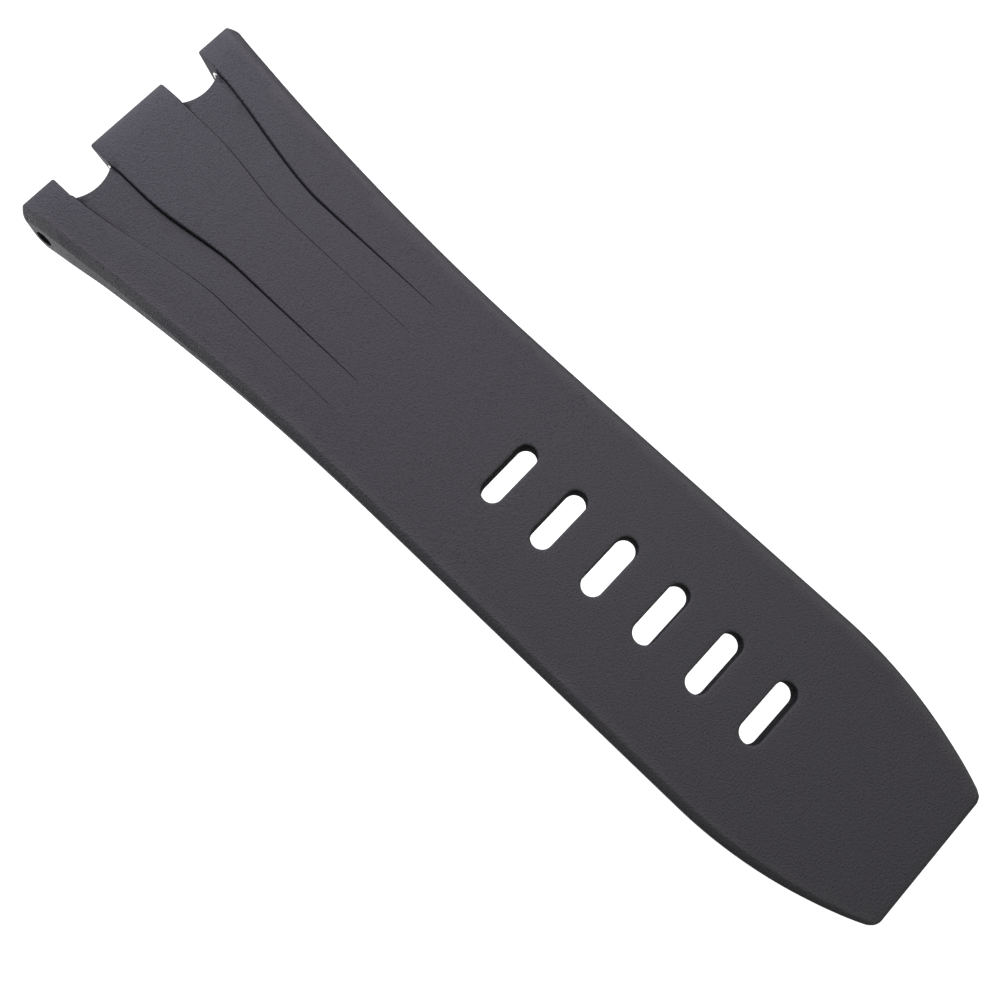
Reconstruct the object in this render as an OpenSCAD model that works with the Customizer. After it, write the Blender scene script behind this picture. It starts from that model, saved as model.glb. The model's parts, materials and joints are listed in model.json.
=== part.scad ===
// Long half of a moulded rubber watch strap, with three tongues for a wide watch case.
// X runs from the lug bore to the tail, Y across the strap, Z up out of the worn face.
// The origin is on the axis of the lug bore. All lengths are in millimetres.
// The moulding bends all along its length, so it is cut into short sections.
// Each section turns on a round nose that sits in a socket of the section before it.

/* [Strap] */
// Width over the buckle slots
strap_w = 24; // [22:0.5:26]
// Width at the lug bore, where it is greatest
lug_w = 30.2; // [29.4:0.1:32]
// Thickness over the buckle slots
strap_t = 2.6; // [2.4:0.1:3]
// Thickness at the lug bore
lug_t = 5.5; // [5.2:0.1:6]
// Distance from the bore axis to where the sides become parallel
flare_run = 44.5; // [38:0.5:48]
// Distance from the bore axis to where the top becomes level
rise_run = 63; // [56:0.5:66]
// Width of the bevel along each side of the worn face, over the buckle slots
bevel_run = 0.8; // [0.5:0.05:0.9]
// Depth of that bevel
bevel_drop = 0.9; // [0.6:0.05:1.1]
// Height above the skin side up to which the sides stand upright
upright_h = 1.5; // [1.2:0.1:2]
// Rounding of the edges on the skin side
under_round = 0.4; // [0.2:0.1:0.6]

/* [Tongues] */
// Height of the bore axis above the skin side
bore_h = 2.6; // [2.4:0.1:2.8]
// Distance from the bore axis to the tongue tips
tip_reach = 2.5; // [2.3:0.05:3.2]
// How far the tip faces lean back from top to bottom
tip_lean = 1; // [0.6:0.1:1.2]
// Radius over which the top rolls down to the tips
tip_roll = 12; // [9:0.5:20]
// Rounding of the outer tongue corners, seen from above
tongue_corner_r = 0.5; // [0.4:0.1:1.2]
// Width of the centre tongue
centre_tongue_w = 9.9; // [9:0.1:10.5]
// Width of each notch between two tongues
notch_w = 5.05; // [4.6:0.05:5.3]
// Distance from the bore axis to the corners of a notch root
notch_root = 0.4; // [0.4:0.1:1.4]
// How much deeper the middle of a notch root is than its corners
notch_sag = 0.75; // [0.3:0.05:1]

/* [Bar liners] */
// Diameter of the hole for the bar
bar_hole_d = 1.8; // [1.5:0.1:1.9]
// Wall of a steel liner
liner_wall = 0.3; // [0.2:0.05:0.35]
// Rubber left outside the end of an outer liner
liner_cover = 0.9; // [0.7:0.1:1.4]

/* [Channels] */
// Greatest depth of the two sunken channels
channel_d = 0.8; // [0.4:0.1:1]
// Share of that depth left at the notches
channel_mouth_share = 0.6; // [0.5:0.05:1]
// Distance from the bore axis to the deepest point
channel_deep_x = 10; // [8:0.5:12]
// Distance from the bore axis to where the channels run out
channel_run = 35; // [30:0.5:38]
// Width of the rib between the channels where they run parallel
rib_w = 7.15; // [6.5:0.05:7.6]
// Width of a channel where it runs parallel
channel_w = 3.7; // [3.2:0.05:4]
// Extra half width of the rib at the notches
rib_flare = 1.25; // [1:0.05:1.3]
// Extra spread of the outer channel edges at the notches
channel_flare = 2.55; // [2.2:0.05:2.6]
// Distance from the bore axis to where the channels become parallel
channel_bend_end = 17.75; // [16:0.25:20]

/* [Buckle slots] */
// Distance between slot centres
slot_pitch = 6.6; // [6.2:0.1:7.2]
// Length of a slot across the strap
slot_l = 7.1; // [6:0.1:9]
// Width of a slot along the strap
slot_w = 2.3; // [1.8:0.1:2.6]

/* [Tail] */
// Distance from the last slot's centre to the tail end
tail_run = 18.9; // [16:0.1:22]
// Distance from the last slot's centre over which the sides curve in
tail_arc_l = 12.8; // [10:0.1:14]
// Angle between each side and the middle line from there on, in degrees
tail_angle = 17; // [12:0.5:20]
// Rounding of the tail corners, seen from above
tail_corner_r = 1.4; // [1:0.1:2.2]
// Rounding of the edge along the tail end
tail_round = 0.7; // [0.4:0.1:0.9]

/* [Bending] */
// Distance from the bore axis to the first bend
case_run = 12.2; // [11:0.1:13]
// Distance between the bends of the thick half
upper_pitch = 7.3; // [6.8:0.1:8]
// How far a bend of the thin half closes round the wrist, in degrees
wrap_angle = 12; // [8:1:13]
// How far a bend of the thin half opens backwards, in degrees
back_angle = 4; // [2:1:5]
// Rubber above and below each round nose
lip = 0.55; // [0.5:0.05:0.7]
// Gap between a nose and its socket
nose_gap = 0.05; // [0.04:0.01:0.08]
// Gap between two sections at the height of the bend
face_gap = 0.1; // [0.08:0.01:0.14]

/* [Hidden] */
upper_count = 5;
channel_count = 3;
slot_count = 6;
plain_count = upper_count - channel_count;

rubber = "#3d3c42";
steel = "silver";
$fn = 64;

// How far a cutting shape runs past what it cuts
over = 1;

// Height of the skin side, with the bore axis at zero
under_z = -bore_h;

// Reach up or down from a bend, and width, that take in the whole moulding
body_reach = lug_t + 2 * over;
across = lug_w + 4 * over;

// Places along the strap
first_slot_x = case_run + upper_count * upper_pitch + slot_pitch / 2;
last_slot_x = first_slot_x + (slot_count - 1) * slot_pitch;
tail_x = last_slot_x + tail_run;
section_count = upper_count + slot_count + 3;
last_section = section_count - 1;
function bend_x(i) =
    i <= upper_count + 1
        ? case_run + (i - 1) * upper_pitch
        : first_slot_x - slot_pitch / 2 + (i - upper_count - 1) * slot_pitch;

// An arc that leaves a straight line and reaches height h after a run of length l
function arc_radius(l, h) = (l * l + h * h) / (2 * h);
function arc_rise(d, l, h) =
    d <= 0 ? 0 : arc_radius(l, h) - sqrt(pow(arc_radius(l, h), 2) - d * d);

// Drop of a quarter round of radius r at depth d into it
function round_drop(d, r) = d <= 0 ? 0 : r - sqrt(max(0, r * r - pow(min(d, r), 2)));

// Height of the worn face
tip_roll_from = 1;
function top_z(x) =
    under_z + strap_t + arc_rise(rise_run - x, rise_run, lug_t - strap_t)
    - round_drop(tip_roll_from - x, tip_roll);

// How far each side has come in at a place in the tail: an arc, then a straight taper
tail_arc_r = tail_arc_l / sin(tail_angle);
function tail_loss(d) =
    round_drop(min(d, tail_arc_l), tail_arc_r) + max(0, d - tail_arc_l) * tan(tail_angle);

// Half width of the outline, with the corners of the tongues and the tail rounded
tail_corner_x = tail_x - tail_corner_r;
tail_corner_y = strap_w / 2 - tail_loss(tail_run - tail_corner_r) - tail_corner_r / cos(tail_angle);
tail_touch_x = tail_corner_x + tail_corner_r * sin(tail_angle);
function half_w(x) =
    x > tail_touch_x
        ? tail_corner_y + sqrt(max(0, pow(tail_corner_r, 2) - pow(x - tail_corner_x, 2)))
        : strap_w / 2
            + arc_rise(flare_run - x, flare_run, (lug_w - strap_w) / 2)
            - tail_loss(x - last_slot_x)
            - round_drop(tongue_corner_r - tip_reach - x, tongue_corner_r);

// Eased step from 0 to 1
function ease(u) = let (v = min(1, max(0, u))) v * v * (3 - 2 * v);

// The bevels grow with the thickness, and become smaller towards the tail end
bevel_run_growth = 0.05;
bevel_drop_growth = 0.1;
bevel_tail_loss = 0.5;
function extra_t(x) = max(0, top_z(x) - under_z - strap_t);
function bevel_left(x) = 1 - bevel_tail_loss * pow(max(0, x - last_slot_x) / tail_run, 3);
function bevel_run_at(x) = (bevel_run + bevel_run_growth * extra_t(x)) * bevel_left(x);
function bevel_drop_at(x) = (bevel_drop + bevel_drop_growth * extra_t(x)) * bevel_left(x);

// Between its upright foot and its bevel, a thick side leans in
side_lean = 0.05;
side_lean_growth = 0.055;
function side_lean_at(x) = side_lean + side_lean_growth * pow(extra_t(x), 2);
function upright_at(t) = min(upright_h, t / 2);

// One cross section of the moulding, as a ring of points.
// The edges take at most these shares of the thickness there
under_steps = 2;
bevel_share = 0.45;
under_share = 0.2;
function corner(x, y, z, r, from) =
    [for (k = [0:under_steps]) let (a = from + k * 90 / under_steps) [x, y + r * cos(a), z + r * sin(a)]];
function ring(x) =
    let (foot = half_w(x),
        shoulder = foot - side_lean_at(x),
        edge = shoulder - bevel_run_at(x),
        zt = top_z(x) - round_drop(x - tail_x + tail_round, tail_round),
        zb = under_z + round_drop(x - tail_x + under_round, under_round),
        zm = zt - min(bevel_drop_at(x), (zt - zb) * bevel_share),
        zu = zb + upright_at(zt - zb),
        rb = min(under_round, (zt - zb) * under_share))
    concat(
        corner(x, foot - rb, zb + rb, rb, -90),
        [[x, foot, zu], [x, shoulder, zm], [x, edge, zt]],
        [[x, -edge, zt], [x, -shoulder, zm], [x, -foot, zu]],
        corner(x, rb - foot, zb + rb, rb, 180)
    );

// A solid through a list of rings of equal length
module loft(rings) {
    n = len(rings[0]);
    m = len(rings);
    e = (m - 1) * n;
    sides = [for (i = [0:m - 2]) for (j = [0:n - 1]) let (k = (j + 1) % n, p = i * n, q = p + n)
        each [[p + j, q + k, p + k], [p + j, q + j, q + k]]];
    caps = [for (j = [1:n - 2]) each [[0, j, j + 1], [e, e + j + 1, e + j]]];
    polyhedron(points = [for (r = rings) each r], faces = concat(sides, caps));
}

// Where the cross sections stand: closer together at the tips and at the tail end
ring_step = 1.8;
turn = 18;
function between(a, b) =
    let (n = max(1, ceil((b - a) / ring_step))) [for (k = [0:n]) a + (b - a) * k / n];
tip_places = [for (a = [90:-turn:turn]) -tip_reach + (1 - sin(a)) * tongue_corner_r];
tail_places = [for (a = [turn:turn:90]) tail_x - (1 - sin(a)) * tail_corner_r];

// The two sunken channels. Their outer edges turn out by a slope and an ease together
rib_bend_from = 5.5;
slope_share = 0.4;
function channel_depth(x) =
    x < channel_deep_x
        ? channel_d * (1 - (1 - channel_mouth_share) * (1 - ease(x / channel_deep_x)))
        : channel_d * (channel_run - x) / (channel_run - channel_deep_x);
function channel_inner(x) =
    rib_w / 2 + rib_flare * ease((channel_bend_end - x) / (channel_bend_end - rib_bend_from));
function channel_outer(x) =
    let (u = max(0, channel_bend_end - x) / (channel_bend_end - notch_root))
    rib_w / 2 + channel_w + channel_flare * (slope_share * u + (1 - slope_share) * ease(u));
module channels(a, b) {
    from = max(notch_root, a);
    to = min(channel_run + over, b);
    if (to > from)
        for (side = [0, 1])
            mirror([0, side, 0])
                loft([for (x = between(from, to))
                    let (floor_z = top_z(x) - channel_depth(x), lid_z = top_z(x) + over)
                    [
                        [x, channel_outer(x), floor_z],
                        [x, channel_outer(x), lid_z],
                        [x, channel_inner(x), lid_z],
                        [x, channel_inner(x), floor_z]
                    ]]);
}

// The bends. Each one sits midway between the skin side and the channel floor
function bend_t(i) =
    top_z(bend_x(i)) - under_z - max(0, channel_depth(bend_x(i)));
function bend_z(i) = under_z + bend_t(i) / 2;
function nose_r(i) = bend_t(i) / 2 - lip;

// Thick rubber bends less than thin rubber, by this power of the thickness
bend_power = 1.5;
function bend_share(i) = pow(strap_t / bend_t(i), bend_power);

// Run of one face of a V gap that closes at the given angle, with a spare angle left open
relief_spare = 0.6;
function relief(i, angle) = body_reach * tan((bend_share(i) * angle + relief_spare) / 2);

// A flat shape drawn in X and Z, made wider than the strap
module side_on() rotate([90, 0, 0]) linear_extrude(across, center = true) children();

// A round bar along Y between two places across the strap
module cross_bar(r, from, to) translate([0, to, 0]) rotate([90, 0, 0]) cylinder(r = r, h = to - from);

// A round bar right across the strap at bend i
module bend_bar(i, r)
    translate([bend_x(i), 0, bend_z(i)]) cross_bar(r, over - across / 2, across / 2 - over);

// Space of section i: open V gaps at both bends, a nose at the first, a socket at the second
module section_space(i) {
    first = i == 0;
    last = i == last_section;
    xa = first ? -tip_reach - over : bend_x(i) + face_gap / 2;
    xb = last ? tail_x + over : bend_x(i + 1) - face_gap / 2;
    za = first ? 0 : bend_z(i);
    zb = last ? 0 : bend_z(i + 1);
    difference() {
        union() {
            side_on() polygon([
                [xa, za],
                [xa + (first ? 0 : relief(i, back_angle)), za + body_reach],
                [xb - (last ? 0 : relief(i + 1, back_angle)), zb + body_reach],
                [xb, zb],
                [xb - (last ? 0 : relief(i + 1, wrap_angle)), zb - body_reach],
                [xa + (first ? 0 : relief(i, wrap_angle)), za - body_reach]
            ]);
            if (!first)
                bend_bar(i, nose_r(i));
        }
        if (!last)
            bend_bar(i + 1, nose_r(i + 1) + nose_gap);
    }
}

// Section i of the moulding, with its stretch of the channels
ring_spare = 0.3;
module section_body(i) {
    first = i == 0;
    last = i == last_section;
    from = first ? -tip_reach + tongue_corner_r : bend_x(i) - nose_r(i) - ring_spare;
    to = last ? tail_x - tail_corner_r : bend_x(i + 1) + ring_spare;
    places = concat(first ? tip_places : [], between(from, to), last ? tail_places : []);
    difference() {
        intersection() {
            loft([for (x = places) ring(x)]);
            section_space(i);
        }
        channels(from - over, to + over);
    }
}

// The tip faces and the notch roots lean by the same angle
lean = atan(tip_lean / lug_t);

// What is cut away in front of the tips, seen from the side. A round heel ends each tip below
tip_heel_r = 0.8;
tip_heel_x = tip_lean - tip_reach;
tip_heel_run = tip_heel_r / tan((90 + lean) / 2);
module tip_waste() {
    heel = [tip_heel_x + tip_heel_run, under_z + tip_heel_r];
    difference() {
        polygon([
            [-tip_reach - over, under_z - over],
            [-tip_reach - over, under_z + lug_t],
            [-tip_reach, under_z + lug_t],
            heel + tip_heel_r * [-cos(lean), -sin(lean)],
            heel,
            heel - [0, tip_heel_r],
            heel - [0, tip_heel_r + over]
        ]);
        translate(heel) circle(tip_heel_r);
    }
}

// One notch, cut from above. Its root is an arc in plan
notch_in = centre_tongue_w / 2;
notch_out = notch_in + notch_w;
module notch() {
    r = arc_radius(notch_w / 2, notch_sag);
    front = -2 * tip_reach;
    translate([0, 0, under_z + lug_t])
        rotate([0, -lean, 0])
            linear_extrude(3 * lug_t, center = true)
                intersection() {
                    translate([front, notch_in])
                        square([notch_root + notch_sag - front, notch_w]);
                    union() {
                        translate([front, notch_in])
                            square([notch_root - front, notch_w]);
                        translate([notch_root + notch_sag - r, notch_in + notch_w / 2])
                            circle(r);
                    }
                }
}

// The bar hole, and the liners seated round it
bar_hole_r = bar_hole_d / 2;
liner_r = bar_hole_r + liner_wall;
side_z = under_z + upright_at(top_z(0) - under_z);
bore_end = lug_w / 2 + side_lean_at(0) * side_z / (top_z(0) - bevel_drop_at(0) - side_z);
liner_end = bore_end - liner_cover;
seat_spare = 0.1;

module case_end() {
    color(rubber)
        difference() {
            section_body(0);
            side_on() tip_waste();
            for (side = [0, 1])
                mirror([0, side, 0]) {
                    notch();
                    cross_bar(liner_r, notch_out - seat_spare, liner_end);
                }
            cross_bar(liner_r, -notch_in - seat_spare, notch_in + seat_spare);
            cross_bar(bar_hole_r, -across / 2, across / 2);
        }
}

module plain_part(i) color(rubber) section_body(i);

module channel_section(i) plain_part(i);

module plain_section(i) plain_part(channel_count + i);

module slot_section(i) {
    x = first_slot_x + (i - 1) * slot_pitch;
    color(rubber)
        difference() {
            section_body(upper_count + i);
            translate([x - slot_w / 2, (slot_w - slot_l) / 2, under_z - over])
                cube([slot_w, slot_l - slot_w, body_reach]);
            for (side = [-1, 1])
                translate([x, side * (slot_l - slot_w) / 2, under_z - over])
                    cylinder(d = slot_w, h = body_reach);
        }
}

module tail_section() plain_part(last_section - 1);

module tail_tip() plain_part(last_section);

module liner(from, to)
    color(steel)
        difference() {
            cross_bar(liner_r, from, to);
            cross_bar(bar_hole_r, from - over, to + over);
        }

module liner_left() liner(-liner_end, -notch_out);

module liner_centre() liner(-notch_in, notch_in);

module liner_right() liner(notch_out, liner_end);

case_end();
for (i = [1:channel_count])
    channel_section(i);
for (i = [1:plain_count])
    plain_section(i);
for (i = [1:slot_count])
    slot_section(i);
tail_section();
tail_tip();
liner_left();
liner_centre();
liner_right();
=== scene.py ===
import json
import math

import bmesh
import bpy
import numpy as np
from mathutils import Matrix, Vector
from mathutils.geometry import delaunay_2d_cdt

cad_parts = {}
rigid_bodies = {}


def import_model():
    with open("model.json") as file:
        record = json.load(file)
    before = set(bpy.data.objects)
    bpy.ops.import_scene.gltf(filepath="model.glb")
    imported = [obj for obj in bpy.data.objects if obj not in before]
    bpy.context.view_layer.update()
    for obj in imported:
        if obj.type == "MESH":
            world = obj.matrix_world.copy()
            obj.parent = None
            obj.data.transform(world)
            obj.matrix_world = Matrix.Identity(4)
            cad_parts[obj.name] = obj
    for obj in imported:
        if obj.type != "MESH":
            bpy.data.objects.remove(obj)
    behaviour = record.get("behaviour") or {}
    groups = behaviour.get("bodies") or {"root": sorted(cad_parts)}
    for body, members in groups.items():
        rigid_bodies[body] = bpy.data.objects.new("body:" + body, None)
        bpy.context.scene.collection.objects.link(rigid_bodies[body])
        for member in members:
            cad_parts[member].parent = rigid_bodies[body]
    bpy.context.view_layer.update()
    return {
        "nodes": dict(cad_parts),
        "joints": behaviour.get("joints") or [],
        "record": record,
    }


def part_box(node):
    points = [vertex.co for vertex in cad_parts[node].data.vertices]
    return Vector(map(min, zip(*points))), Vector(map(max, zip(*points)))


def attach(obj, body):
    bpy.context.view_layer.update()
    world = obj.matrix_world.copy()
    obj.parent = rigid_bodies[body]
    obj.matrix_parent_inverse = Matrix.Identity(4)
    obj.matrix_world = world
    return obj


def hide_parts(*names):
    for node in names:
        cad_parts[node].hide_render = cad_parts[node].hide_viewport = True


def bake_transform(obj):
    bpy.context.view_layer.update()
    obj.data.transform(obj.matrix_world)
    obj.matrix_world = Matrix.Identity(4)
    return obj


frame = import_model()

# Looks of a moulded rubber watch strap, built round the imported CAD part.
# The skin is worked out in millimetres, in the CAD's frame, and its pieces are made in metres.
millimetre = 0.001
print("frame loaded:", len(frame["nodes"]), "nodes")

# Places that come from the frame
bendPlaces = [joint["pos_m"][0] / millimetre for joint in frame["joints"]]
sectionNames = [frame["joints"][0]["parent"]] + [joint["child"] for joint in frame["joints"]]
mounts = {mount["name"]: mount for mount in frame["record"]["mounts"]}
slotNames = [name for name in mounts if name.startswith("buckle_slot")]
slotPlaces = [mounts[name]["pos_m"][0] / millimetre for name in slotNames]
boreRadius = mounts["lug_bore"]["dims"]["r_mm"]
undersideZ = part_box("plain_section_1")[0].z / millimetre
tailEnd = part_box("tail_tip")[1].x / millimetre

# The moulding's outline and thickness
mould = {
    "strapWidth": 24.0,
    "strapThickness": 2.6,
    "lugWidth": 30.2,
    "lugThickness": 5.5,
    "flareRun": 44.5,  # from the bore to where the sides become parallel
    "riseRun": 63.0,  # from the bore to where the worn face becomes level
    "tailArc": 12.8,  # run over which the sides curve in towards the tail
    "tailAngle": 17.0,
    "tailPinch": 0.0017,  # how fast the tail's sides bend in further, over the run below
    "tailPinchRun": 6.9,
    "tailCorner": 1.4,
    "tailRound": 0.5,
    "underRound": 0.4,
    "turnRun": 6.0,  # run after the last cut over which the side's rows turn square to it
}

# The three tongues and two notches
tongues = {
    "reach": 2.5,
    "centreExtra": 0.1,
    "roll": 12.0,  # radius over which the worn face rolls down to the tips
    "rollFrom": 1.0,
    "lean": 1.0,  # run of the tip faces from top to bottom
    "leanTo": 1.5,
    "leanFade": 6.5,
    "centreWidth": 9.9,
    "notchWidth": 5.05,
    "notchRoot": 0.4,
    "notchSag": 0.75,
    "notchFillet": 0.15,
    "outerCorner": 1.0,
    "innerCorner": 0.22,
    "edgeRound": 0.12,
    "footRound": 0.2,
}


def arcRise(distance, run, height):
    radius = (run * run + height * height) / (2 * height)
    distance = np.maximum(distance, 0)
    return radius - np.sqrt(np.maximum(radius * radius - distance * distance, 0))


def roundDrop(depth, radius):
    depth = np.clip(depth, 0, radius)
    return radius - np.sqrt(np.maximum(radius * radius - depth * depth, 0))


def ease(share):
    share = np.clip(share, 0, 1)
    return share * share * (3 - 2 * share)


def turn(degrees):
    return math.cos(math.radians(degrees)), math.sin(math.radians(degrees))


def wornFace(x):
    rise = mould["lugThickness"] - mould["strapThickness"]
    level = undersideZ + mould["strapThickness"]
    roll = roundDrop(tongues["rollFrom"] - x, tongues["roll"])
    return level + arcRise(mould["riseRun"] - x, mould["riseRun"], rise) - roll


def halfWidth(x):
    widening = (mould["lugWidth"] - mould["strapWidth"]) / 2
    flare = arcRise(mould["flareRun"] - x, mould["flareRun"], widening)
    angle = math.radians(mould["tailAngle"])
    run = x - slotPlaces[-1]
    curve = roundDrop(np.minimum(run, mould["tailArc"]), mould["tailArc"] / math.sin(angle))
    taper = np.maximum(run - mould["tailArc"], 0) * math.tan(angle)
    pinch = mould["tailPinch"] * np.maximum(x - tailEnd + mould["tailPinchRun"], 0) ** 3
    return mould["strapWidth"] / 2 + flare - curve - taper - pinch


def sideAngle(x):
    step = 0.01
    return math.atan(float(halfWidth(x - step) - halfWidth(x + step)) / (2 * step))


# The bevel along each side, and the side below it
bevel = {
    "run": 0.8,
    "drop": 0.9,
    "runGrowth": 0.05,  # for each millimetre of extra thickness
    "dropGrowth": 0.1,
    "tailLoss": 0.5,
    "edgeRound": 0.13,  # half the width over which the face turns into the bevel
    "sideLean": 0.05,
    "sideLeanGrowth": 0.055,
    "uprightHeight": 1.5,
    "uprightShare": 0.5,
}


def bevelAt(x):
    # Run and drop of the bevel, and lean of the side below it
    extra = np.maximum(wornFace(x) - undersideZ - mould["strapThickness"], 0)
    alongTail = np.clip((x - slotPlaces[-1]) / (tailEnd - slotPlaces[-1]), 0, 1)
    left = 1 - bevel["tailLoss"] * alongTail**3
    run = (bevel["run"] + bevel["runGrowth"] * extra) * left
    drop = (bevel["drop"] + bevel["dropGrowth"] * extra) * left
    return run, drop, bevel["sideLean"] + bevel["sideLeanGrowth"] * extra**2


def uprightTop(x):
    thickness = wornFace(x) - undersideZ
    return undersideZ + np.minimum(bevel["uprightHeight"], thickness * bevel["uprightShare"])


def bevelEdge(x):
    run, drop, lean = bevelAt(x)
    return halfWidth(x) - lean - run


def softStart(distance, reach):
    # Zero, then rising by one for one, with a soft bend between
    bent = (np.clip(distance, -reach, reach) + reach) ** 2 / (4 * reach)
    return np.where(distance > reach, distance, bent)


# The two sunken channels beside the middle rib
channels = {
    "depth": 0.8,
    "mouthShare": 0.6,
    "deepPlace": 10.0,
    "run": 35.0,
    "ribWidth": 7.15,
    "width": 3.7,
    "ribFlare": 1.25,
    "outerFlare": 2.66,
    "bendEnd": 17.75,
    "ribBendFrom": 5.5,
    "slopeShare": 0.4,
    "fullDepth": 0.45,  # the edges are drawn full size down to this depth
    "leastScale": 0.5,
}

# How a channel's edge goes down: distance into the channel and share of the depth.
# Past the wall it dips into a narrow crease, which shows as a dark line
channelEdge = [
    (-0.16, 0.0),
    (-0.09, 0.02),
    (-0.03, 0.1),
    (0.01, 0.3),
    (0.05, 0.9),
    (0.08, 1.45),
    (0.13, 1.45),
    (0.18, 1.0),
]
# How much painted shade lies across a crease, standing in for the shade that falls there
creaseShade = [(0.01, 0.0), (0.05, 1.0), (0.13, 1.0), (0.18, 0.0)]


def channelDepth(x):
    mouth = 1 - (1 - channels["mouthShare"]) * (1 - ease(x / channels["deepPlace"]))
    runOut = np.clip((channels["run"] - x) / (channels["run"] - channels["deepPlace"]), 0, 1)
    return channels["depth"] * np.where(x < channels["deepPlace"], mouth, runOut)


def ribEdge(x):
    bend = channels["bendEnd"] - channels["ribBendFrom"]
    return channels["ribWidth"] / 2 + channels["ribFlare"] * ease((channels["bendEnd"] - x) / bend)


def outerEdge(x):
    share = np.clip((channels["bendEnd"] - x) / (channels["bendEnd"] - tongues["notchRoot"]), 0, 1)
    slope = channels["slopeShare"]
    curve = slope * share + (1 - slope) * ease(share)
    return channels["ribWidth"] / 2 + channels["width"] + channels["outerFlare"] * curve


def edgeScale(x):
    return np.clip(channelDepth(x) / channels["fullDepth"], channels["leastScale"], 1.0)


def sunkShare(distance):
    return np.interp(distance, [p[0] for p in channelEdge], [p[1] for p in channelEdge])


def mouldedFace(x, y):
    y = np.abs(y)
    scale = edgeScale(x)
    fromRib = sunkShare((y - ribEdge(x)) / scale)
    fromOuter = sunkShare((outerEdge(x) - y) / scale)
    sunk = channelDepth(x) * np.minimum(fromRib, fromOuter)
    run, drop, lean = bevelAt(x)
    slope = drop / run
    steep = (wornFace(x) - drop - uprightTop(x)) / lean
    past = y - bevelEdge(x)
    side = slope * softStart(past, bevel["edgeRound"]) + (steep - slope) * np.maximum(past - run, 0)
    return wornFace(x) - sunk - side


# How finely the skin is divided. Lengths are in millimetres
skinMesh = {
    "alongStep": 0.75,
    "acrossStep": 1.2,
    "clearOfLoop": 0.28,  # gaps that keep the sheets' inner points off rims and lines
    "clearOfLine": 0.22,
    "clearOfEdge": 0.35,
    "clearOfBevel": 0.12,
    "clearOfRoot": 0.12,
    "rootMargin": 0.03,
    "rootLead": 0.35,  # how far past a notch root the channels' lines take their places
    "rootBand": (-0.1, 1.6),  # where the rim counts as a notch root, from the root on
    "rootCatch": 0.06,  # how near a rim point has to be for a line to start from it
    "lineStart": 0.25,
    "lineEnd": 0.4,  # how far before the channels run out their lines stop
    "besideBevel": (0.4, 0.35),  # gaps at a tip between the bevel's lines and the next rows
    "tipGap": 0.2,
    "leastArea": 1e-6,
    "samePoint": 1e-6,
    "onCut": 1e-4,
    "tipParts": 7,  # the next values are numbers of parts
    "wallParts": 8,
    "rootParts": 14,
    "cornerParts": 4,
    "bevelParts": 5,
    "faceParts": 4,
    "outerCornerParts": 9,
    "tailCornerParts": 10,
    "tailParts": 9,
    "slotSideParts": 5,
    "slotEndParts": 16,
}

# The rounding of the rims: degrees turned from level to upright or back, and for the
# long sides the share of the way down to the upright part
rims = {
    "top": (90, 72, 56, 42, 30, 19, 9, 0),
    "side": (0, 0.04, 0.12, 0.3, 0.5, 0.7, 0.88, 1),
    "wall": (0.25, 0.5, 0.75),
    "foot": (0, 18, 36, 54, 72, 90),
    "slotTop": (90, 68, 46, 23, 0),
    "slotFoot": (0, 30, 60, 90),
}

# The skin is cut midway between bends, so that each piece spans one bend
cutPlaces = [(a + b) / 2 for a, b in zip(bendPlaces[:-1], bendPlaces[1:])]
cutPlaces.insert(0, 2 * bendPlaces[0] - cutPlaces[0])


def stations(start, end):
    marks = [start] + [x for x in cutPlaces if start < x < end] + [end]
    places = [start]
    for a, b in zip(marks[:-1], marks[1:]):
        count = max(1, round((b - a) / skinMesh["alongStep"]))
        places += [a + (b - a) * i / count for i in range(1, count + 1)]
    return np.array(places)


def rootPlaces(low, high):
    # Places across a notch root, with one for each line of a channel's edge
    x = tongues["notchRoot"] + skinMesh["rootLead"]
    margin = skinMesh["rootMargin"]
    gap = skinMesh["clearOfRoot"]
    lines = []
    for distance, depth in channelEdge:
        step = distance * float(edgeScale(x))
        lines += [float(ribEdge(x)) + step, float(outerEdge(x)) - step]
    lines = [y for y in lines if low + margin < y < high - margin]
    plain = np.linspace(low, high, skinMesh["rootParts"] + 1)[1:-1]
    return sorted([y for y in plain if all(abs(y - line) > gap for line in lines)] + lines)


def bevelLines():
    # Across the strap, how far from the bevel's edge each line along it lies
    reach = bevel["edgeRound"]
    return [-reach, -reach / 3, reach / 3, reach]


def cornerRows(x, y, radius, start, end, way):
    # Rows round a corner's centre. The way is 1 where the rubber lies outside the corner
    # and -1 where it lies inside
    rows = []
    for angle in np.linspace(start, end, skinMesh["cornerParts"] + 1):
        c, s = turn(angle)
        place = (x + radius * c, y + radius * s)
        rows.append((*place, way * c, way * s, tongues["edgeRound"], tongues["footRound"], 0))
    return rows


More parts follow.
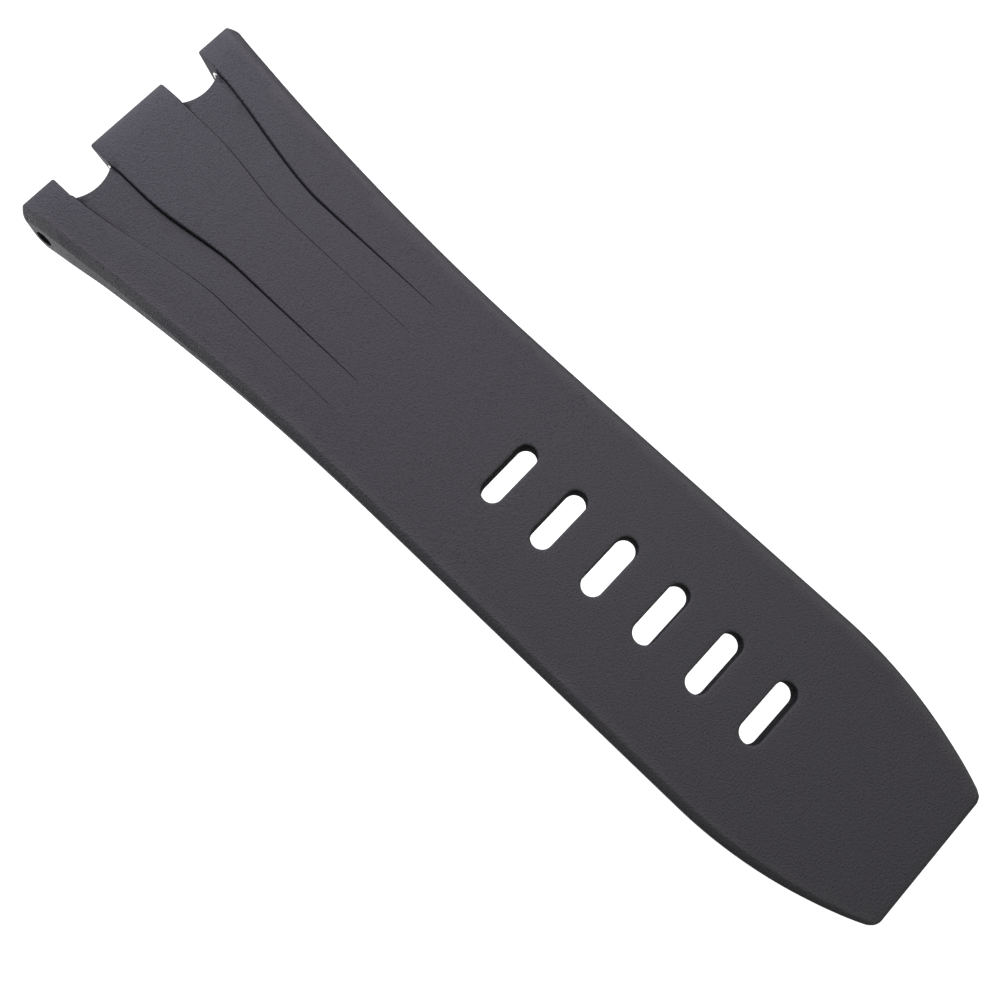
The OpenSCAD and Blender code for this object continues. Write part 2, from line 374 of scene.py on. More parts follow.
def notchRows(tip, inner, outer):
    # Down one wall of a notch, across its arched root and up the other wall
    edge = tongues["edgeRound"]
    foot = tongues["footRound"]
    middle = (inner + outer) / 2
    half = tongues["notchWidth"] / 2
    radius = (half * half + tongues["notchSag"] ** 2) / (2 * tongues["notchSag"])
    centre = tongues["notchRoot"] + tongues["notchSag"] - radius
    fillet = tongues["notchFillet"]
    filletX = centre + math.sqrt((radius - fillet) ** 2 - (half - fillet) ** 2)
    filletEnd = math.degrees(math.atan2(fillet - half, filletX - centre))
    wall = np.linspace(tip + tongues["innerCorner"], filletX, skinMesh["wallParts"] + 1)[1:-1]
    rows = [(x, inner, 0, -1, edge, foot, 0) for x in wall]
    rows += cornerRows(filletX, inner + fillet, fillet, -90, filletEnd, 1)
    rootStart = inner + fillet + fillet * turn(filletEnd)[1]
    for y in rootPlaces(rootStart, 2 * middle - rootStart):
        c, s = turn(math.degrees(math.asin((y - middle) / radius)))
        rows.append((centre + radius * c, y, c, s, edge, foot, 0))
    rows += cornerRows(filletX, outer - fillet, fillet, -filletEnd, 90, 1)
    return rows + [(x, outer, 0, 1, edge, foot, 0) for x in wall[::-1]]


def outerTipRows(tip, outer):
    # Across an outer tongue's tip, with a row for each of the bevel's lines, to the side
    edge = tongues["edgeRound"]
    foot = tongues["footRound"]
    corner = tongues["innerCorner"]
    rows = cornerRows(tip + corner, outer + corner, corner, -90, -180, -1)
    bevelStart = float(bevelEdge(tip + edge))
    lines = [bevelStart + line for line in bevelLines()]
    before, after = skinMesh["besideBevel"]
    plain = np.linspace(outer + corner, bevelStart - before, skinMesh["faceParts"] + 1)[1:]
    corner = tongues["outerCorner"]
    slantEnd = float(halfWidth(tip)) - corner
    slant = np.linspace(bevelStart + after, slantEnd, skinMesh["bevelParts"] + 1)[:-1]
    rows += [(tip, y, 1, 0, edge, foot, 0) for y in [*plain, *lines, *slant]]
    for angle in np.linspace(0, 90, skinMesh["outerCornerParts"] + 1):
        c, s = turn(angle)
        x = tip + corner * (1 - c)
        share = float(ease(angle / 90))
        below = foot + (mould["underRound"] - foot) * share
        rows.append((x, float(halfWidth(x)) - corner * (1 - s), c, -s, edge, below, share))
    return rows


def sideRows(start):
    # The long side, whose rows stay square to the strap up to the last cut, then the
    # tail's corner and half of its end
    rounds = (mould["tailRound"], mould["underRound"])
    corner = mould["tailCorner"]
    centreX = tailEnd - corner
    angle = sideAngle(centreX + corner * math.sin(sideAngle(centreX)))
    touch = centreX + corner * math.sin(angle)
    centreY = float(halfWidth(touch)) - corner * math.cos(angle)
    rows = []
    for x in stations(start, touch)[1:-1]:
        lean = sideAngle(x) * float(ease((x - cutPlaces[-1]) / mould["turnRun"]))
        rows.append((x, float(halfWidth(x)), -math.sin(lean), -math.cos(lean), *rounds, 1))
    cornerStart = 90 - math.degrees(angle)
    for turned in np.linspace(cornerStart, 0, skinMesh["tailCornerParts"] + 1):
        c, s = turn(turned)
        share = float(ease(turned / cornerStart))
        rows.append((centreX + corner * c, centreY + corner * s, -c, -s, *rounds, share))
    across = np.linspace(centreY, 0, skinMesh["tailParts"] + 1)[1:]
    return rows + [(tailEnd, y, -1, 0, *rounds, 0) for y in across]


def halfOutline():
    # From the middle of the centre tongue round to the middle of the tail. Each row is
    # x, y, the way into the rubber in x and y, the rounding above and below, and how far
    # the row is a side, with a bevel in place of the rounding
    tip = -tongues["reach"]
    centreTip = tip - tongues["centreExtra"]
    inner = tongues["centreWidth"] / 2
    outer = inner + tongues["notchWidth"]
    corner = tongues["innerCorner"]
    across = np.linspace(0, inner - corner, skinMesh["tipParts"] + 1)[:-1]
    rows = [(centreTip, y, 1, 0, tongues["edgeRound"], tongues["footRound"], 0) for y in across]
    rows += cornerRows(centreTip + corner, inner - corner, corner, 180, 90, -1)
    rows += notchRows(tip, inner, outer) + outerTipRows(tip, outer)
    return np.array(rows + sideRows(tip + tongues["outerCorner"]))


# The buckle slots
slots = {"length": 7.1, "width": 2.3, "topRound": 0.3, "underRound": 0.2}


def slotLoop(place, grow):
    # The slot's outline, grown by the rounding of its rim
    radius = slots["width"] / 2 + grow
    straight = (slots["length"] - slots["width"]) / 2
    loop = []
    for side, start in ((1, 0), (-1, 180)):
        along = np.linspace(-side * straight, side * straight, skinMesh["slotSideParts"] + 1)
        loop += [(place + side * radius, y) for y in along[:-1]]
        for angle in np.linspace(start, start + 180, skinMesh["slotEndParts"] + 1)[:-1]:
            c, s = turn(angle)
            loop.append((place + radius * c, side * straight + radius * s))
    return np.array(loop)


def insideLoop(points, loop):
    x, y = points[:, 0], points[:, 1]
    inside = np.zeros(len(points), bool)
    for (x1, y1), (x2, y2) in zip(loop, np.roll(loop, -1, axis=0)):
        if y1 != y2:
            inside ^= ((y1 > y) != (y2 > y)) & (x < (x2 - x1) * (y - y1) / (y2 - y1) + x1)
    return inside


def clearOfLoop(points, loop, gap):
    clear = np.ones(len(points), bool)
    for a, b in zip(loop, np.roll(loop, -1, axis=0)):
        way = b - a
        share = np.clip(((points - a) @ way) / (way @ way), 0, 1)
        clear &= np.linalg.norm(points - a - share[:, None] * way, axis=1) > gap
    return clear


skinPoints = []
skinFaces = []


def addRow(points):
    start = len(skinPoints)
    skinPoints.extend(tuple(float(value) for value in p) for p in points)
    return list(range(start, start + len(points)))


def joinRows(rows):
    for upper, lower in zip(rows[:-1], rows[1:]):
        for i in range(len(upper)):
            j = (i + 1) % len(upper)
            skinFaces.append((upper[i], upper[j], lower[j], lower[i]))


def fillSheet(rim, holes, lines, height, facesUp):
    # Fills the sheet inside a rim and outside its holes, with edges along the given lines
    plan = []
    known = []
    edges = []
    for loop in [rim] + holes:
        start = len(plan)
        plan += [skinPoints[i][:2] for i in loop]
        known += loop
        edges += [(start + i, start + (i + 1) % len(loop)) for i in range(len(loop))]
    place = {index: n for n, index in enumerate(known)}
    onLines = []
    for line in lines:
        chain = []
        for point in line:
            if isinstance(point, int):
                chain.append(place[point])
            else:
                chain.append(len(plan))
                plan.append(point)
                known.append(None)
                onLines.append(point)
        edges += list(zip(chain[:-1], chain[1:]))

    rimLoop = np.array([skinPoints[i][:2] for i in rim])
    holeLoops = [np.array([skinPoints[i][:2] for i in hole]) for hole in holes]
    reach = rimLoop[:, 1].max()
    across = np.arange(-reach, reach, skinMesh["acrossStep"])
    along = [x for x in stations(rimLoop[:, 0].min(), rimLoop[:, 0].max()) if x not in cutPlaces]
    grid = np.array([(x, y) for x in along for y in across])
    grid = grid[insideLoop(grid, rimLoop) & clearOfLoop(grid, rimLoop, skinMesh["clearOfLoop"])]
    for loop in holeLoops:
        grid = grid[~insideLoop(grid, loop) & clearOfLoop(grid, loop, skinMesh["clearOfLoop"])]
    onLines = np.array(onLines)
    gaps = np.array([np.hypot(*(onLines - point).T).min() for point in grid])
    grid = grid[gaps > skinMesh["clearOfLine"]]
    plan += [tuple(point) for point in grid]
    known += [None] * len(grid)

    corners = [Vector(point) for point in plan]
    found = delaunay_2d_cdt(corners, edges, [], 0, skinMesh["samePoint"])
    flat = np.array([tuple(point) for point in found[0]])
    heights = height(flat[:, 0], flat[:, 1])
    indices = []
    for n, sources in enumerate(found[3]):
        old = [known[i] for i in sources if known[i] is not None]
        indices.append(old[0] if old else addRow([(*flat[n], heights[n])])[0])
    triangles = np.array(found[2])
    middles = flat[triangles].mean(axis=1)
    wanted = insideLoop(middles, rimLoop)
    for loop in holeLoops:
        wanted &= ~insideLoop(middles, loop)
    for triangle in triangles[wanted]:
        a, b, c = flat[triangle]
        area = ((b[0] - a[0]) * (c[1] - a[1]) - (b[1] - a[1]) * (c[0] - a[0])) / 2
        if abs(area) < skinMesh["leastArea"]:  # three points in line along the rim
            continue
        face = [indices[i] for i in triangle]
        skinFaces.append(tuple(face if (area > 0) == facesUp else face[::-1]))


def crossLines(rim, holes, outline):
    # Straight lines across the strap at the cuts, which stop at the slots
    lines = []
    same = skinMesh["samePoint"]
    for place in cutPlaces:
        ends = [rim[i] for i, row in enumerate(outline) if abs(row[0] - place) < same]
        stops = [i for hole in holes for i in hole if abs(skinPoints[i][0] - place) < same]
        stops = sorted(ends + stops, key=lambda i: skinPoints[i][1])
        for low, high in zip(stops[::2], stops[1::2]):
            start, end = skinPoints[low][1], skinPoints[high][1]
            count = max(1, round((end - start) / skinMesh["acrossStep"]))
            between = [start + (end - start) * i / count for i in range(1, count)]
            edges = [float(bevelEdge(place))]
            if place < channels["run"]:
                edges += [float(ribEdge(place)), float(outerEdge(place))]
            clear = skinMesh["clearOfEdge"]
            between = [y for y in between if all(abs(abs(y) - e) > clear for e in edges)]
            lines.append([low] + [(place, y) for y in between] + [high])
    return lines


def channelLines(rim):
    # Lines along each channel edge, from the notch roots to where the channels run out
    rimPlaces = np.array([skinPoints[i][:2] for i in rim])
    root = tongues["notchRoot"]
    end = channels["run"] - skinMesh["lineEnd"]
    bandStart, bandEnd = skinMesh["rootBand"]
    onRoot = (rimPlaces[:, 0] > root + bandStart) & (rimPlaces[:, 0] < root + bandEnd)
    places = stations(-tongues["reach"], tailEnd)
    lines = []
    taken = set()
    for side in (1, -1):
        for edge, way in ((ribEdge, 1), (outerEdge, -1)):
            for distance, depth in channelEdge:
                def across(x):
                    return side * (float(edge(x)) + way * distance * float(edgeScale(x)))

                start = root + tongues["notchSag"] + skinMesh["rootLead"]
                line = []
                offsets = np.abs(rimPlaces[:, 1] - across(root + skinMesh["rootLead"]))
                nearest = int(np.argmin(np.where(onRoot, offsets, np.inf)))
                if offsets[nearest] < skinMesh["rootCatch"] and nearest not in taken:
                    taken.add(nearest)
                    line.append(rim[nearest])
                    start = rimPlaces[nearest][0] + skinMesh["lineStart"]
                line += [(x, across(x)) for x in places if start < x < end]
                lines.append(line + [(end, across(end))])
    return lines


def bevelRuns(rim):
    # Lines along each bevel's edge, from the tips to where they would meet the tail end
    rimLoop = np.array([skinPoints[i][:2] for i in rim])
    tip = -tongues["reach"] + tongues["edgeRound"]
    places = stations(-tongues["reach"], tailEnd)
    places = places[places > tip + skinMesh["tipGap"]]
    lines = []
    for side in (1, -1):
        for line in bevelLines():
            first = side * (float(bevelEdge(tip)) + line)
            gaps = np.hypot(rimLoop[:, 0] - tip, rimLoop[:, 1] - first)
            points = np.array([(x, side * (float(bevelEdge(x)) + line)) for x in places])
            clear = clearOfLoop(points, rimLoop, skinMesh["clearOfBevel"])
            free = insideLoop(points, rimLoop) & clear
            blocked = np.nonzero(~free)[0]
            points = points[: blocked[0]] if len(blocked) else points
            lines.append([rim[int(np.argmin(gaps))]] + [tuple(point) for point in points])
    return lines


def leanBack(points):
    # The tips and the notch roots lean back towards the skin side
    x, y, z = points.T
    lean = tongues["lean"] / mould["lugThickness"]
    fade = 1 - ease((x - tongues["leanTo"]) / tongues["leanFade"])
    top = undersideZ + mould["lugThickness"]
    return np.column_stack([x + (top - z) * lean * fade, y, z])


def levelRow(loop, height):
    return addRow(np.column_stack([loop, np.full(len(loop), height)]))


def edgeRows(outline):
    # Round the whole moulding, from the worn face's rim down to the underside's
    x, y, inX, inY, above, below, side = outline.T
    lean = bevelAt(x)[2]
    inset = above * (1 - side) + lean * side
    rim = mouldedFace(x + inX * inset, y + inY * inset)
    rows = []
    for angle, share in zip(rims["top"], rims["side"]):
        c, s = turn(angle)
        inset = above * (1 - c) * (1 - side) + lean * (1 - share) * side
        height = rim - above * (1 - s) * (1 - side) - (rim - uprightTop(x)) * share * side
        rows.append(addRow(np.column_stack([x + inX * inset, y + inY * inset, height])))
    shoulder = np.array([skinPoints[i][2] for i in rows[-1]])
    footTop = undersideZ + below
    for share in rims["wall"]:
        rows.append(addRow(np.column_stack([x, y, shoulder + (footTop - shoulder) * share])))
    for angle in rims["foot"]:
        c, s = turn(angle)
        inset = below * (1 - c)
        height = undersideZ + below * (1 - s)
        rows.append(addRow(np.column_stack([x + inX * inset, y + inY * inset, height])))
    return rows


def slotRows(place):
    # Down through one slot, from its rim in the worn face to its rim in the underside
    rows = []
    for angle in rims["slotTop"]:
        c, s = turn(angle)
        loop = slotLoop(place, slots["topRound"] * (1 - c))
        height = wornFace(loop[:, 0]) - slots["topRound"] * (1 - s)
        rows.append(addRow(np.column_stack([loop, height])))
    rows.append(levelRow(slotLoop(place, 0), undersideZ / 2))
    for angle in rims["slotFoot"]:
        c, s = turn(angle)
        loop = slotLoop(place, slots["underRound"] * (1 - c))
        rows.append(levelRow(loop, undersideZ + slots["underRound"] * (1 - s)))
    return rows


def makeSkin():
    half = halfOutline()
    mirrored = half[1:-1][::-1] * (1, -1, 1, -1, 1, 1, 1)
    outline = np.vstack([half, mirrored])[::-1]
    rows = edgeRows(outline)
    joinRows(rows)
    topHoles = []
    underHoles = []
    for place in slotPlaces:
        hole = slotRows(place)
        joinRows(hole)
        topHoles.append(hole[0])
        underHoles.append(hole[-1])

    lines = channelLines(rows[0]) + bevelRuns(rows[0]) + crossLines(rows[0], topHoles, outline)
    fillSheet(rows[0], topHoles, lines, mouldedFace, True)
    lines = crossLines(rows[-1], underHoles, outline)
    fillSheet(rows[-1], underHoles, lines, lambda x, y: np.full(len(x), undersideZ), False)
    return leanBack(np.array(skinPoints))


skin = makeSkin()
print("skin worked out:", len(skin), "points,", len(skinFaces), "faces")


# The skin's pieces
def closeCuts(mesh, places):
    # Closes the open ends of a piece, with sharp edges round each cap
    near = skinMesh["onCut"]
    for place in places:
        ends = []
        for edge in mesh.edges:
            onCut = all(abs(v.co.x / millimetre - place) < near for v in edge.verts)
            if onCut and len(edge.link_faces) == 1:
                ends.append(edge)
        for edge in ends:
            edge.smooth = False
        bmesh.ops.holes_fill(mesh, edges=ends, sides=0)


def meshObject(name, mesh, material):
    bmesh.ops.recalc_face_normals(mesh, faces=mesh.faces)
    data = bpy.data.meshes.new(name)
    mesh.to_mesh(data)
    mesh.free()
    data.materials.append(material)
    piece = bpy.data.objects.new(name, data)
    bpy.context.scene.collection.objects.link(piece)
    return piece


# Finishes
wearName = "edgeWear"
# Attribute with the share of painted shade in the channels' creases and down the slot walls
paintedShadeName = "paintedCreaseShade"
rubberLook = {
    "colour": (0.066, 0.064, 0.071),
    "patchColour": (0.076, 0.074, 0.082),
    "speckColour": (0.038, 0.037, 0.041),
    "wornColour": (0.11, 0.107, 0.11),
    "wornShare": 0.8,  # how much of the worn colour shows along an edge
    "wearWidth": 0.2,  # the wear's and the painted shade's reaches are in millimetres
    "wearDepth": 0.4,
    # Painted shade: this dark colour is laid in the channels' creases and down the slot walls
    "paintedShadeColour": (0.012, 0.011, 0.013),
    "paintedShadeFade": 0.025,  # channels shallower than this get less of the painted shade
    "paintedShadeDepth": 1.6,
    "slotPaintedShade": 1.0,
    "slotReach": 0.05,
    "roughness": (0.62, 0.82),
    "specular": 0.11,
    "patches": (170.0, 4),  # each noise has its waves per metre and its detail
    "pebbles": (5200.0, 2),
    "pebbleHeight": 0.00016,
    "specks": (6500.0, 1),
    "speckLevels": (0.5, 0.85),
}


def newMaterial(name):
    material = bpy.data.materials.new(name)
    material.use_nodes = True
    nodes = material.node_tree.nodes
    nodes.clear()
    shader = nodes.new("ShaderNodeBsdfPrincipled")
    output = nodes.new("ShaderNodeOutputMaterial")
    material.node_tree.links.new(shader.outputs["BSDF"], output.inputs["Surface"])
    return material, nodes, material.node_tree.links, shader


def noise(nodes, links, place, scale, detail):
    texture = nodes.new("ShaderNodeTexNoise")
    texture.inputs["Scale"].default_value = scale
    texture.inputs["Detail"].default_value = detail
    links.new(place, texture.inputs["Vector"])
    return texture.outputs["Fac"]


def bump(nodes, links, height, distance):
    node = nodes.new("ShaderNodeBump")
    node.inputs["Distance"].default_value = distance
    links.new(height, node.inputs["Height"])
    return node.outputs["Normal"]


def spread(nodes, links, value, start, end, low=0.0, high=1.0):
    # Maps a value from low..high to start..end
    node = nodes.new("ShaderNodeMapRange")
    node.inputs["From Min"].default_value = low
    node.inputs["From Max"].default_value = high
    node.inputs["To Min"].default_value = start
    node.inputs["To Max"].default_value = end
    links.new(value, node.inputs["Value"])
    return node.outputs["Result"]


def blendColours(nodes, links, share, first, second):
    # Each colour is either three numbers or a socket
    mix = nodes.new("ShaderNodeMix")
    mix.data_type = "RGBA"
    links.new(share, mix.inputs["Factor"])
    for socket, colour in (("A", first), ("B", second)):
        if isinstance(colour, tuple):
            mix.inputs[socket].default_value = (*colour, 1)
        else:
            links.new(colour, mix.inputs[socket])
    return mix.outputs["Result"]


def calculate(nodes, links, operation, first, second):
    node = nodes.new("ShaderNodeMath")
    node.operation = operation
    links.new(first, node.inputs[0])
    links.new(second, node.inputs[1])
    return node.outputs["Value"]


def rubber():
    material, nodes, links, shader = newMaterial("strapRubber")
    place = nodes.new("ShaderNodeTexCoord").outputs["Object"]
    patches = noise(nodes, links, place, *rubberLook["patches"])
    pebbles = noise(nodes, links, place, *rubberLook["pebbles"])
    specks = noise(nodes, links, place, *rubberLook["specks"])
    edges = nodes.new("ShaderNodeAttribute")
    edges.attribute_name = wearName
    rubbed = calculate(nodes, links, "MULTIPLY", edges.outputs["Fac"], patches)
    rubbed = spread(nodes, links, rubbed, 0, rubberLook["wornShare"])
    colour = blendColours(nodes, links, patches, rubberLook["colour"], rubberLook["patchColour"])
    specks = spread(nodes, links, specks, 0, 1, *rubberLook["speckLevels"])
    colour = blendColours(nodes, links, specks, colour, rubberLook["speckColour"])
    colour = blendColours(nodes, links, rubbed, colour, rubberLook["wornColour"])
    # Painted shade in the creases and down the slot walls darkens the colour and makes it fully
    # rough
    paintedShade = nodes.new("ShaderNodeAttribute")
    paintedShade.attribute_name = paintedShadeName
    colour = blendColours(nodes, links, paintedShade.outputs["Fac"], colour, rubberLook["paintedShadeColour"])
    links.new(colour, shader.inputs["Base Color"])
    matt = calculate(nodes, links, "SUBTRACT", patches, rubbed)
    matt = spread(nodes, links, matt, *rubberLook["roughness"])
    matt = calculate(nodes, links, "MAXIMUM", matt, paintedShade.outputs["Fac"])
    links.new(matt, shader.inputs["Roughness"])
    shader.inputs["Specular IOR Level"].default_value = rubberLook["specular"]
    links.new(bump(nodes, links, pebbles, rubberLook["pebbleHeight"]), shader.inputs["Normal"])
    return material


steelLook = {
    "colour": (0.58, 0.57, 0.55),
    "dullColour": (0.42, 0.41, 0.4),
    "brightColour": (0.72, 0.71, 0.7),
    "edgeWidth": 0.00008,
    "edgeSamples": 6,
    "edgeLevels": (0.9, 0.995),
    "roughness": (0.22, 0.42),
    "stains": (1500.0, 3),  # waves per metre and detail
    "rings": (9000.0, 3),
    "ringStretch": (0.05, 1, 0.05),  # draws the second noise out round the tube
    "ringHeight": 0.000004,
}


def edgeShare(nodes, links):
    # One along edges, where a rounded normal parts from the true one
    rounded = nodes.new("ShaderNodeBevel")
    rounded.samples = steelLook["edgeSamples"]
    rounded.inputs["Radius"].default_value = steelLook["edgeWidth"]
    surface = nodes.new("ShaderNodeNewGeometry")
    product = nodes.new("ShaderNodeVectorMath")
    product.operation = "DOT_PRODUCT"
    links.new(rounded.outputs["Normal"], product.inputs[0])
    links.new(surface.outputs["Normal"], product.inputs[1])
    return spread(nodes, links, product.outputs["Value"], 1, 0, *steelLook["edgeLevels"])


def steel():
    material, nodes, links, shader = newMaterial("linerSteel")
    shader.inputs["Metallic"].default_value = 1.0
    place = nodes.new("ShaderNodeTexCoord").outputs["Object"]
    rings = nodes.new("ShaderNodeMapping")
    rings.inputs["Scale"].default_value = steelLook["ringStretch"]
    links.new(place, rings.inputs["Vector"])
    turned = noise(nodes, links, rings.outputs["Vector"], *steelLook["rings"])
    stains = noise(nodes, links, place, *steelLook["stains"])
    edges = edgeShare(nodes, links)
    colour = blendColours(nodes, links, stains, steelLook["colour"], steelLook["dullColour"])
    colour = blendColours(nodes, links, edges, colour, steelLook["brightColour"])
    links.new(colour, shader.inputs["Base Color"])
    links.new(spread(nodes, links, turned, *steelLook["roughness"]), shader.inputs["Roughness"])
    links.new(bump(nodes, links, turned, steelLook["ringHeight"]), shader.inputs["Normal"])
    return material


def slotGaps(x, y):
    # How far each point is from each slot's wall
    straight = (slots["length"] - slots["width"]) / 2
    beyond = np.maximum(y - straight, 0)
    return [np.abs(np.hypot(x - place, beyond) - slots["width"] / 2) for place in slotPlaces]


def edgeWear(points):
    # One at the worn face's edges, fading over the width of the wear
    x, y, z = points.T
    y = np.abs(y)
    gaps = [np.abs(y - bevelEdge(x)), x + tongues["reach"], tailEnd - x] + slotGaps(x, y)
    near = np.exp(-((np.min(gaps, axis=0) / rubberLook["wearWidth"]) ** 2))
    return near * (z > wornFace(x) - rubberLook["wearDepth"])


def paintedCreaseShade(points):
    # Painted shade: one in the creases beside the channels' walls, fading where the channels run
    # out, and down the walls of the slots, standing in for the shade that falls in both
    x, y, z = points.T
    y = np.abs(y)
    scale = edgeScale(x)
    distances, shades = zip(*creaseShade)
    fromRib = np.interp((y - ribEdge(x)) / scale, distances, shades)
    fromOuter = np.interp((outerEdge(x) - y) / scale, distances, shades)
    fade = np.clip(channelDepth(x) / rubberLook["paintedShadeFade"], 0, 1)
    onTop = z > wornFace(x) - rubberLook["paintedShadeDepth"]
    inChannel = (x > tongues["notchRoot"] + tongues["notchFillet"]) & (x < channels["run"])
    creases = np.maximum(fromRib, fromOuter) * fade * onTop * inChannel
    onWall = np.min(slotGaps(x, y), axis=0) < rubberLook["slotReach"]
    down = np.clip((wornFace(x) - z) / slots["topRound"], 0, 1)
    return np.maximum(creases, rubberLook["slotPaintedShade"] * onWall * down)


def skinPiece(name, start, end, material):
    mesh = bmesh.new()
    wear = mesh.verts.layers.float.new(wearName)
    paintedShade = mesh.verts.layers.float.new(paintedShadeName)
    made = {}
    for n in np.nonzero((faceMiddles > start) & (faceMiddles < end))[0]:
        face = skinFaces[n]
        for index in face:
            if index not in made:
                made[index] = mesh.verts.new(Vector(skin[index]) * millimetre)
                made[index][wear] = float(skinWear[index])
                made[index][paintedShade] = float(skinPaintedShade[index])
        mesh.faces.new([made[index] for index in face]).smooth = True
    closeCuts(mesh, (start, end))
    return meshObject(name, mesh, material)


faceMiddles = np.array([skin[list(face), 0].mean() for face in skinFaces])
skinWear = edgeWear(skin)
# Share of painted shade at each point of the skin
skinPaintedShade = paintedCreaseShade(skin)
rubberMaterial = rubber()
steelMaterial = steel()
print("materials made:", rubberMaterial.name, "and", steelMaterial.name)

ends = [-math.inf] + cutPlaces + [math.inf]
skinPieces = []
for number, section in enumerate(sectionNames):
    piece = skinPiece("skin_" + section, ends[number], ends[number + 1], rubberMaterial)
    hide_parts(section)
    if number == 0:
        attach(piece, section)
    else:
        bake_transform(piece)
    skinPieces.append(piece)
print("skin pieces made:", len(skinPieces))

# The bar hole, and the steel liners in their seats
linerTube = {
    "rim": 0.06,
    "rimSteps": 4,
    "rounds": 64,
    "cutPast": 0.8,  # how far the cutters go on beyond the rubber
    "sharpAngle": 40,
    "weld": 1e-7,  # metres
}
linerNames = ["liner_left", "liner_centre", "liner_right"]
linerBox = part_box("liner_centre")
linerRadius = (linerBox[1].z - linerBox[0].z) / 2 / millimetre


def linerEnds(name):
    return [corner.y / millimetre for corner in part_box(name)]


def lathed(profile, closed):
    # Turns a list of (radius, y) points round the axis of the bore
    mesh = bmesh.new()
    points = profile + profile[:1] if closed else profile
    verts = [mesh.verts.new(Vector((radius, y, 0)) * millimetre) for radius, y in points]
    edges = [mesh.edges.new(pair) for pair in zip(verts[:-1], verts[1:])]
    bmesh.ops.spin(
        mesh,
        geom=verts + edges,
        cent=(0, 0, 0),
        axis=(0, 1, 0),
        angle=2 * math.pi,
        steps=linerTube["rounds"],
    )
    bmesh.ops.remove_doubles(mesh, verts=mesh.verts, dist=linerTube["weld"])
    return mesh


def borePlugs():
    # For each liner the profile of its seat. The outer two go on through the side of the
    # strap as the bar hole
    plugs = []
    past = linerTube["cutPast"]
    side = mould["lugWidth"] / 2 + past
    for name in linerNames:
        low, high = linerEnds(name)
        start = low if high < 0 else low - past
        end = high if low > 0 else high + past
        profile = [(0, start), (linerRadius, start), (linerRadius, end), (0, end)]
        if high < 0:
            profile[:1] = [(0, -side), (boreRadius, -side), (boreRadius, start)]
        if low > 0:
            profile[-1:] = [(boreRadius, end), (boreRadius, side), (0, side)]
        plugs.append(profile)
    return plugs


def cutBore(piece):
    for profile in borePlugs():
        cutter = meshObject("boreCutter", lathed(profile, False), rubberMaterial)
        cut = piece.modifiers.new("bore", "BOOLEAN")
        cut.operation = "DIFFERENCE"
        cut.solver = "EXACT"
        cut.object = cutter
        depsgraph = bpy.context.evaluated_depsgraph_get()
        depsgraph.update()
        data = bpy.data.meshes.new_from_object(piece.evaluated_get(depsgraph))
        piece.modifiers.clear()
        piece.data = data
        bpy.data.objects.remove(cutter)
    piece.data.set_sharp_from_angle(angle=math.radians(linerTube["sharpAngle"]))


def linerProfile(low, high):
    # A tube with rounded rims, as one closed loop of (radius, y)
    rim = linerTube["rim"]
    loop = []
    corners = [
        (linerRadius - rim, low + rim, 0, -90),
        (boreRadius + rim, low + rim, -90, -180),
        (boreRadius + rim, high - rim, 180, 90),
        (linerRadius - rim, high - rim, 90, 0),
    ]
    for radius, y, start, end in corners:
        for angle in np.linspace(start, end, linerTube["rimSteps"] + 1):
            c, s = turn(angle)
            loop.append((radius + rim * c, y + rim * s))
    return loop


cutBore(skinPieces[0])
for name in linerNames:
    low, high = linerEnds(name)
    mesh = lathed(linerProfile(low, high), True)
    for face in mesh.faces:
        face.smooth = True
    tube = meshObject("tube_" + name, mesh, steelMaterial)
    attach(tube, sectionNames[0])
    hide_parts(name)
print("bore cut and liners made")

# Camera, taken from the photograph's frame of 1000 by 1000
photoCamera = {
    "place": (0.065978, -0.015204, 0.087266),
    "turn": (11.675, 0.371, 43.566),
    "lens": 33.12,
    "sensor": 36.0,
    "clipStart": 0.005,
}
camera = bpy.data.objects.new("photoCamera", bpy.data.cameras.new("photoCamera"))
bpy.context.scene.collection.objects.link(camera)
camera.location = photoCamera["place"]
camera.rotation_euler = [math.radians(angle) for angle in photoCamera["turn"]]
camera.data.sensor_width = photoCamera["sensor"]
camera.data.lens = photoCamera["lens"]
camera.data.clip_start = photoCamera["clipStart"]
bpy.context.scene.camera = camera
print("camera set")

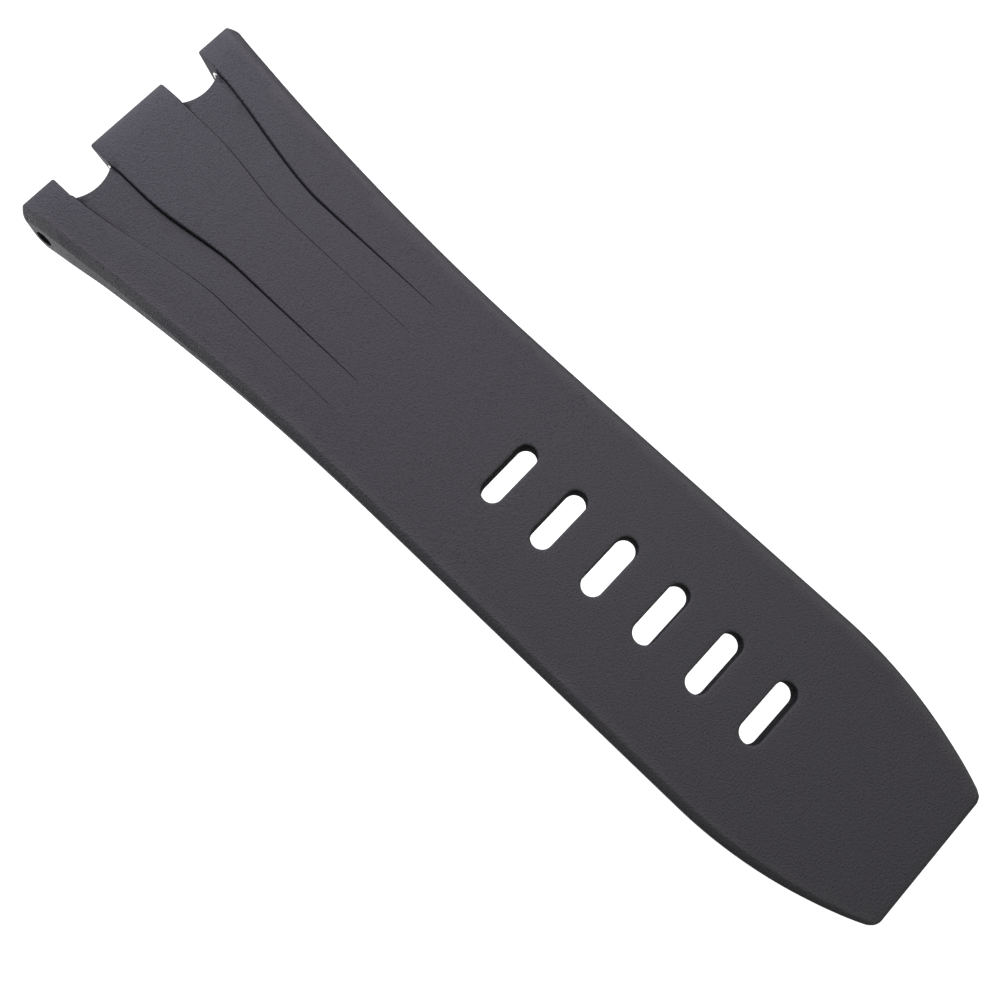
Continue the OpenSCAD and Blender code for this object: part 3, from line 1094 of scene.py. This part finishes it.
# Floor, backdrop and light. Each lamp has a place, a size, a power and a colour
studio = {
    "floorDrop": -0.07,  # below the strap's lowest reach when it is bent round a wrist
    "floorSize": 3.0,
    "floorColour": (0.8, 0.8, 0.8),
    "floorRoughness": 0.9,
    "floorGlow": 0.9,  # added only where the floor is seen, so that it shows white
    "skyStrength": 0.03,
    "skySeen": 1.0,
    "aim": (0.05, 0, 0),
    "lamps": {
        "keyLight": ((-0.01, 0.035, 0.13), 0.07, 0.15, (0.88, 0.86, 1.0)),
        "endLight": ((-0.05, 0.01, 0.03), 0.03, 0.03, (0.89, 0.87, 1.0)),
        "fillLight": ((0.055, 0.045, 0.14), 0.06, 0.075, (1.0, 0.97, 0.82)),
        "sideLight": ((-0.04, -0.06, -0.03), 0.05, 0.055, (0.96, 0.97, 1.0)),
    },
}
white = (1, 1, 1, 1)


def areaLight(name, place, size, power, colour):
    lamp = bpy.data.lights.new(name, "AREA")
    lamp.shape = "SQUARE"
    lamp.size = size
    lamp.energy = power
    lamp.color = colour
    light = bpy.data.objects.new(name, lamp)
    bpy.context.scene.collection.objects.link(light)
    light.location = place
    way = Vector(studio["aim"]) - Vector(place)
    light.rotation_euler = way.to_track_quat("-Z", "Y").to_euler()


def seenShare(nodes, links):
    # One where the background is seen, directly or in metal and glass, and zero where it
    # only lights
    path = nodes.new("ShaderNodeLightPath").outputs
    seen = calculate(nodes, links, "MAXIMUM", path["Is Camera Ray"], path["Is Glossy Ray"])
    return calculate(nodes, links, "MAXIMUM", seen, path["Is Transmission Ray"])


def setBackdrop():
    world = bpy.data.worlds.new("studio")
    bpy.context.scene.world = world
    world.use_nodes = True
    nodes = world.node_tree.nodes
    links = world.node_tree.links
    sky = nodes["Background"]
    sky.inputs["Color"].default_value = white
    seen = seenShare(nodes, links)
    level = spread(nodes, links, seen, studio["skyStrength"], studio["skySeen"])
    links.new(level, sky.inputs["Strength"])


def layFloor():
    mesh = bmesh.new()
    bmesh.ops.create_grid(mesh, x_segments=1, y_segments=1, size=studio["floorSize"] / 2)
    material, nodes, links, shader = newMaterial("paleFloor")
    shader.inputs["Base Color"].default_value = (*studio["floorColour"], 1)
    shader.inputs["Roughness"].default_value = studio["floorRoughness"]
    shader.inputs["Emission Color"].default_value = white
    glow = spread(nodes, links, seenShare(nodes, links), 0, studio["floorGlow"])
    links.new(glow, shader.inputs["Emission Strength"])
    floor = meshObject("floor", mesh, material)
    floor.location.z = studio["floorDrop"]


for name, lamp in studio["lamps"].items():
    areaLight(name, *lamp)
setBackdrop()
layFloor()
bpy.context.scene.view_settings.view_transform = "Standard"
print("studio set")
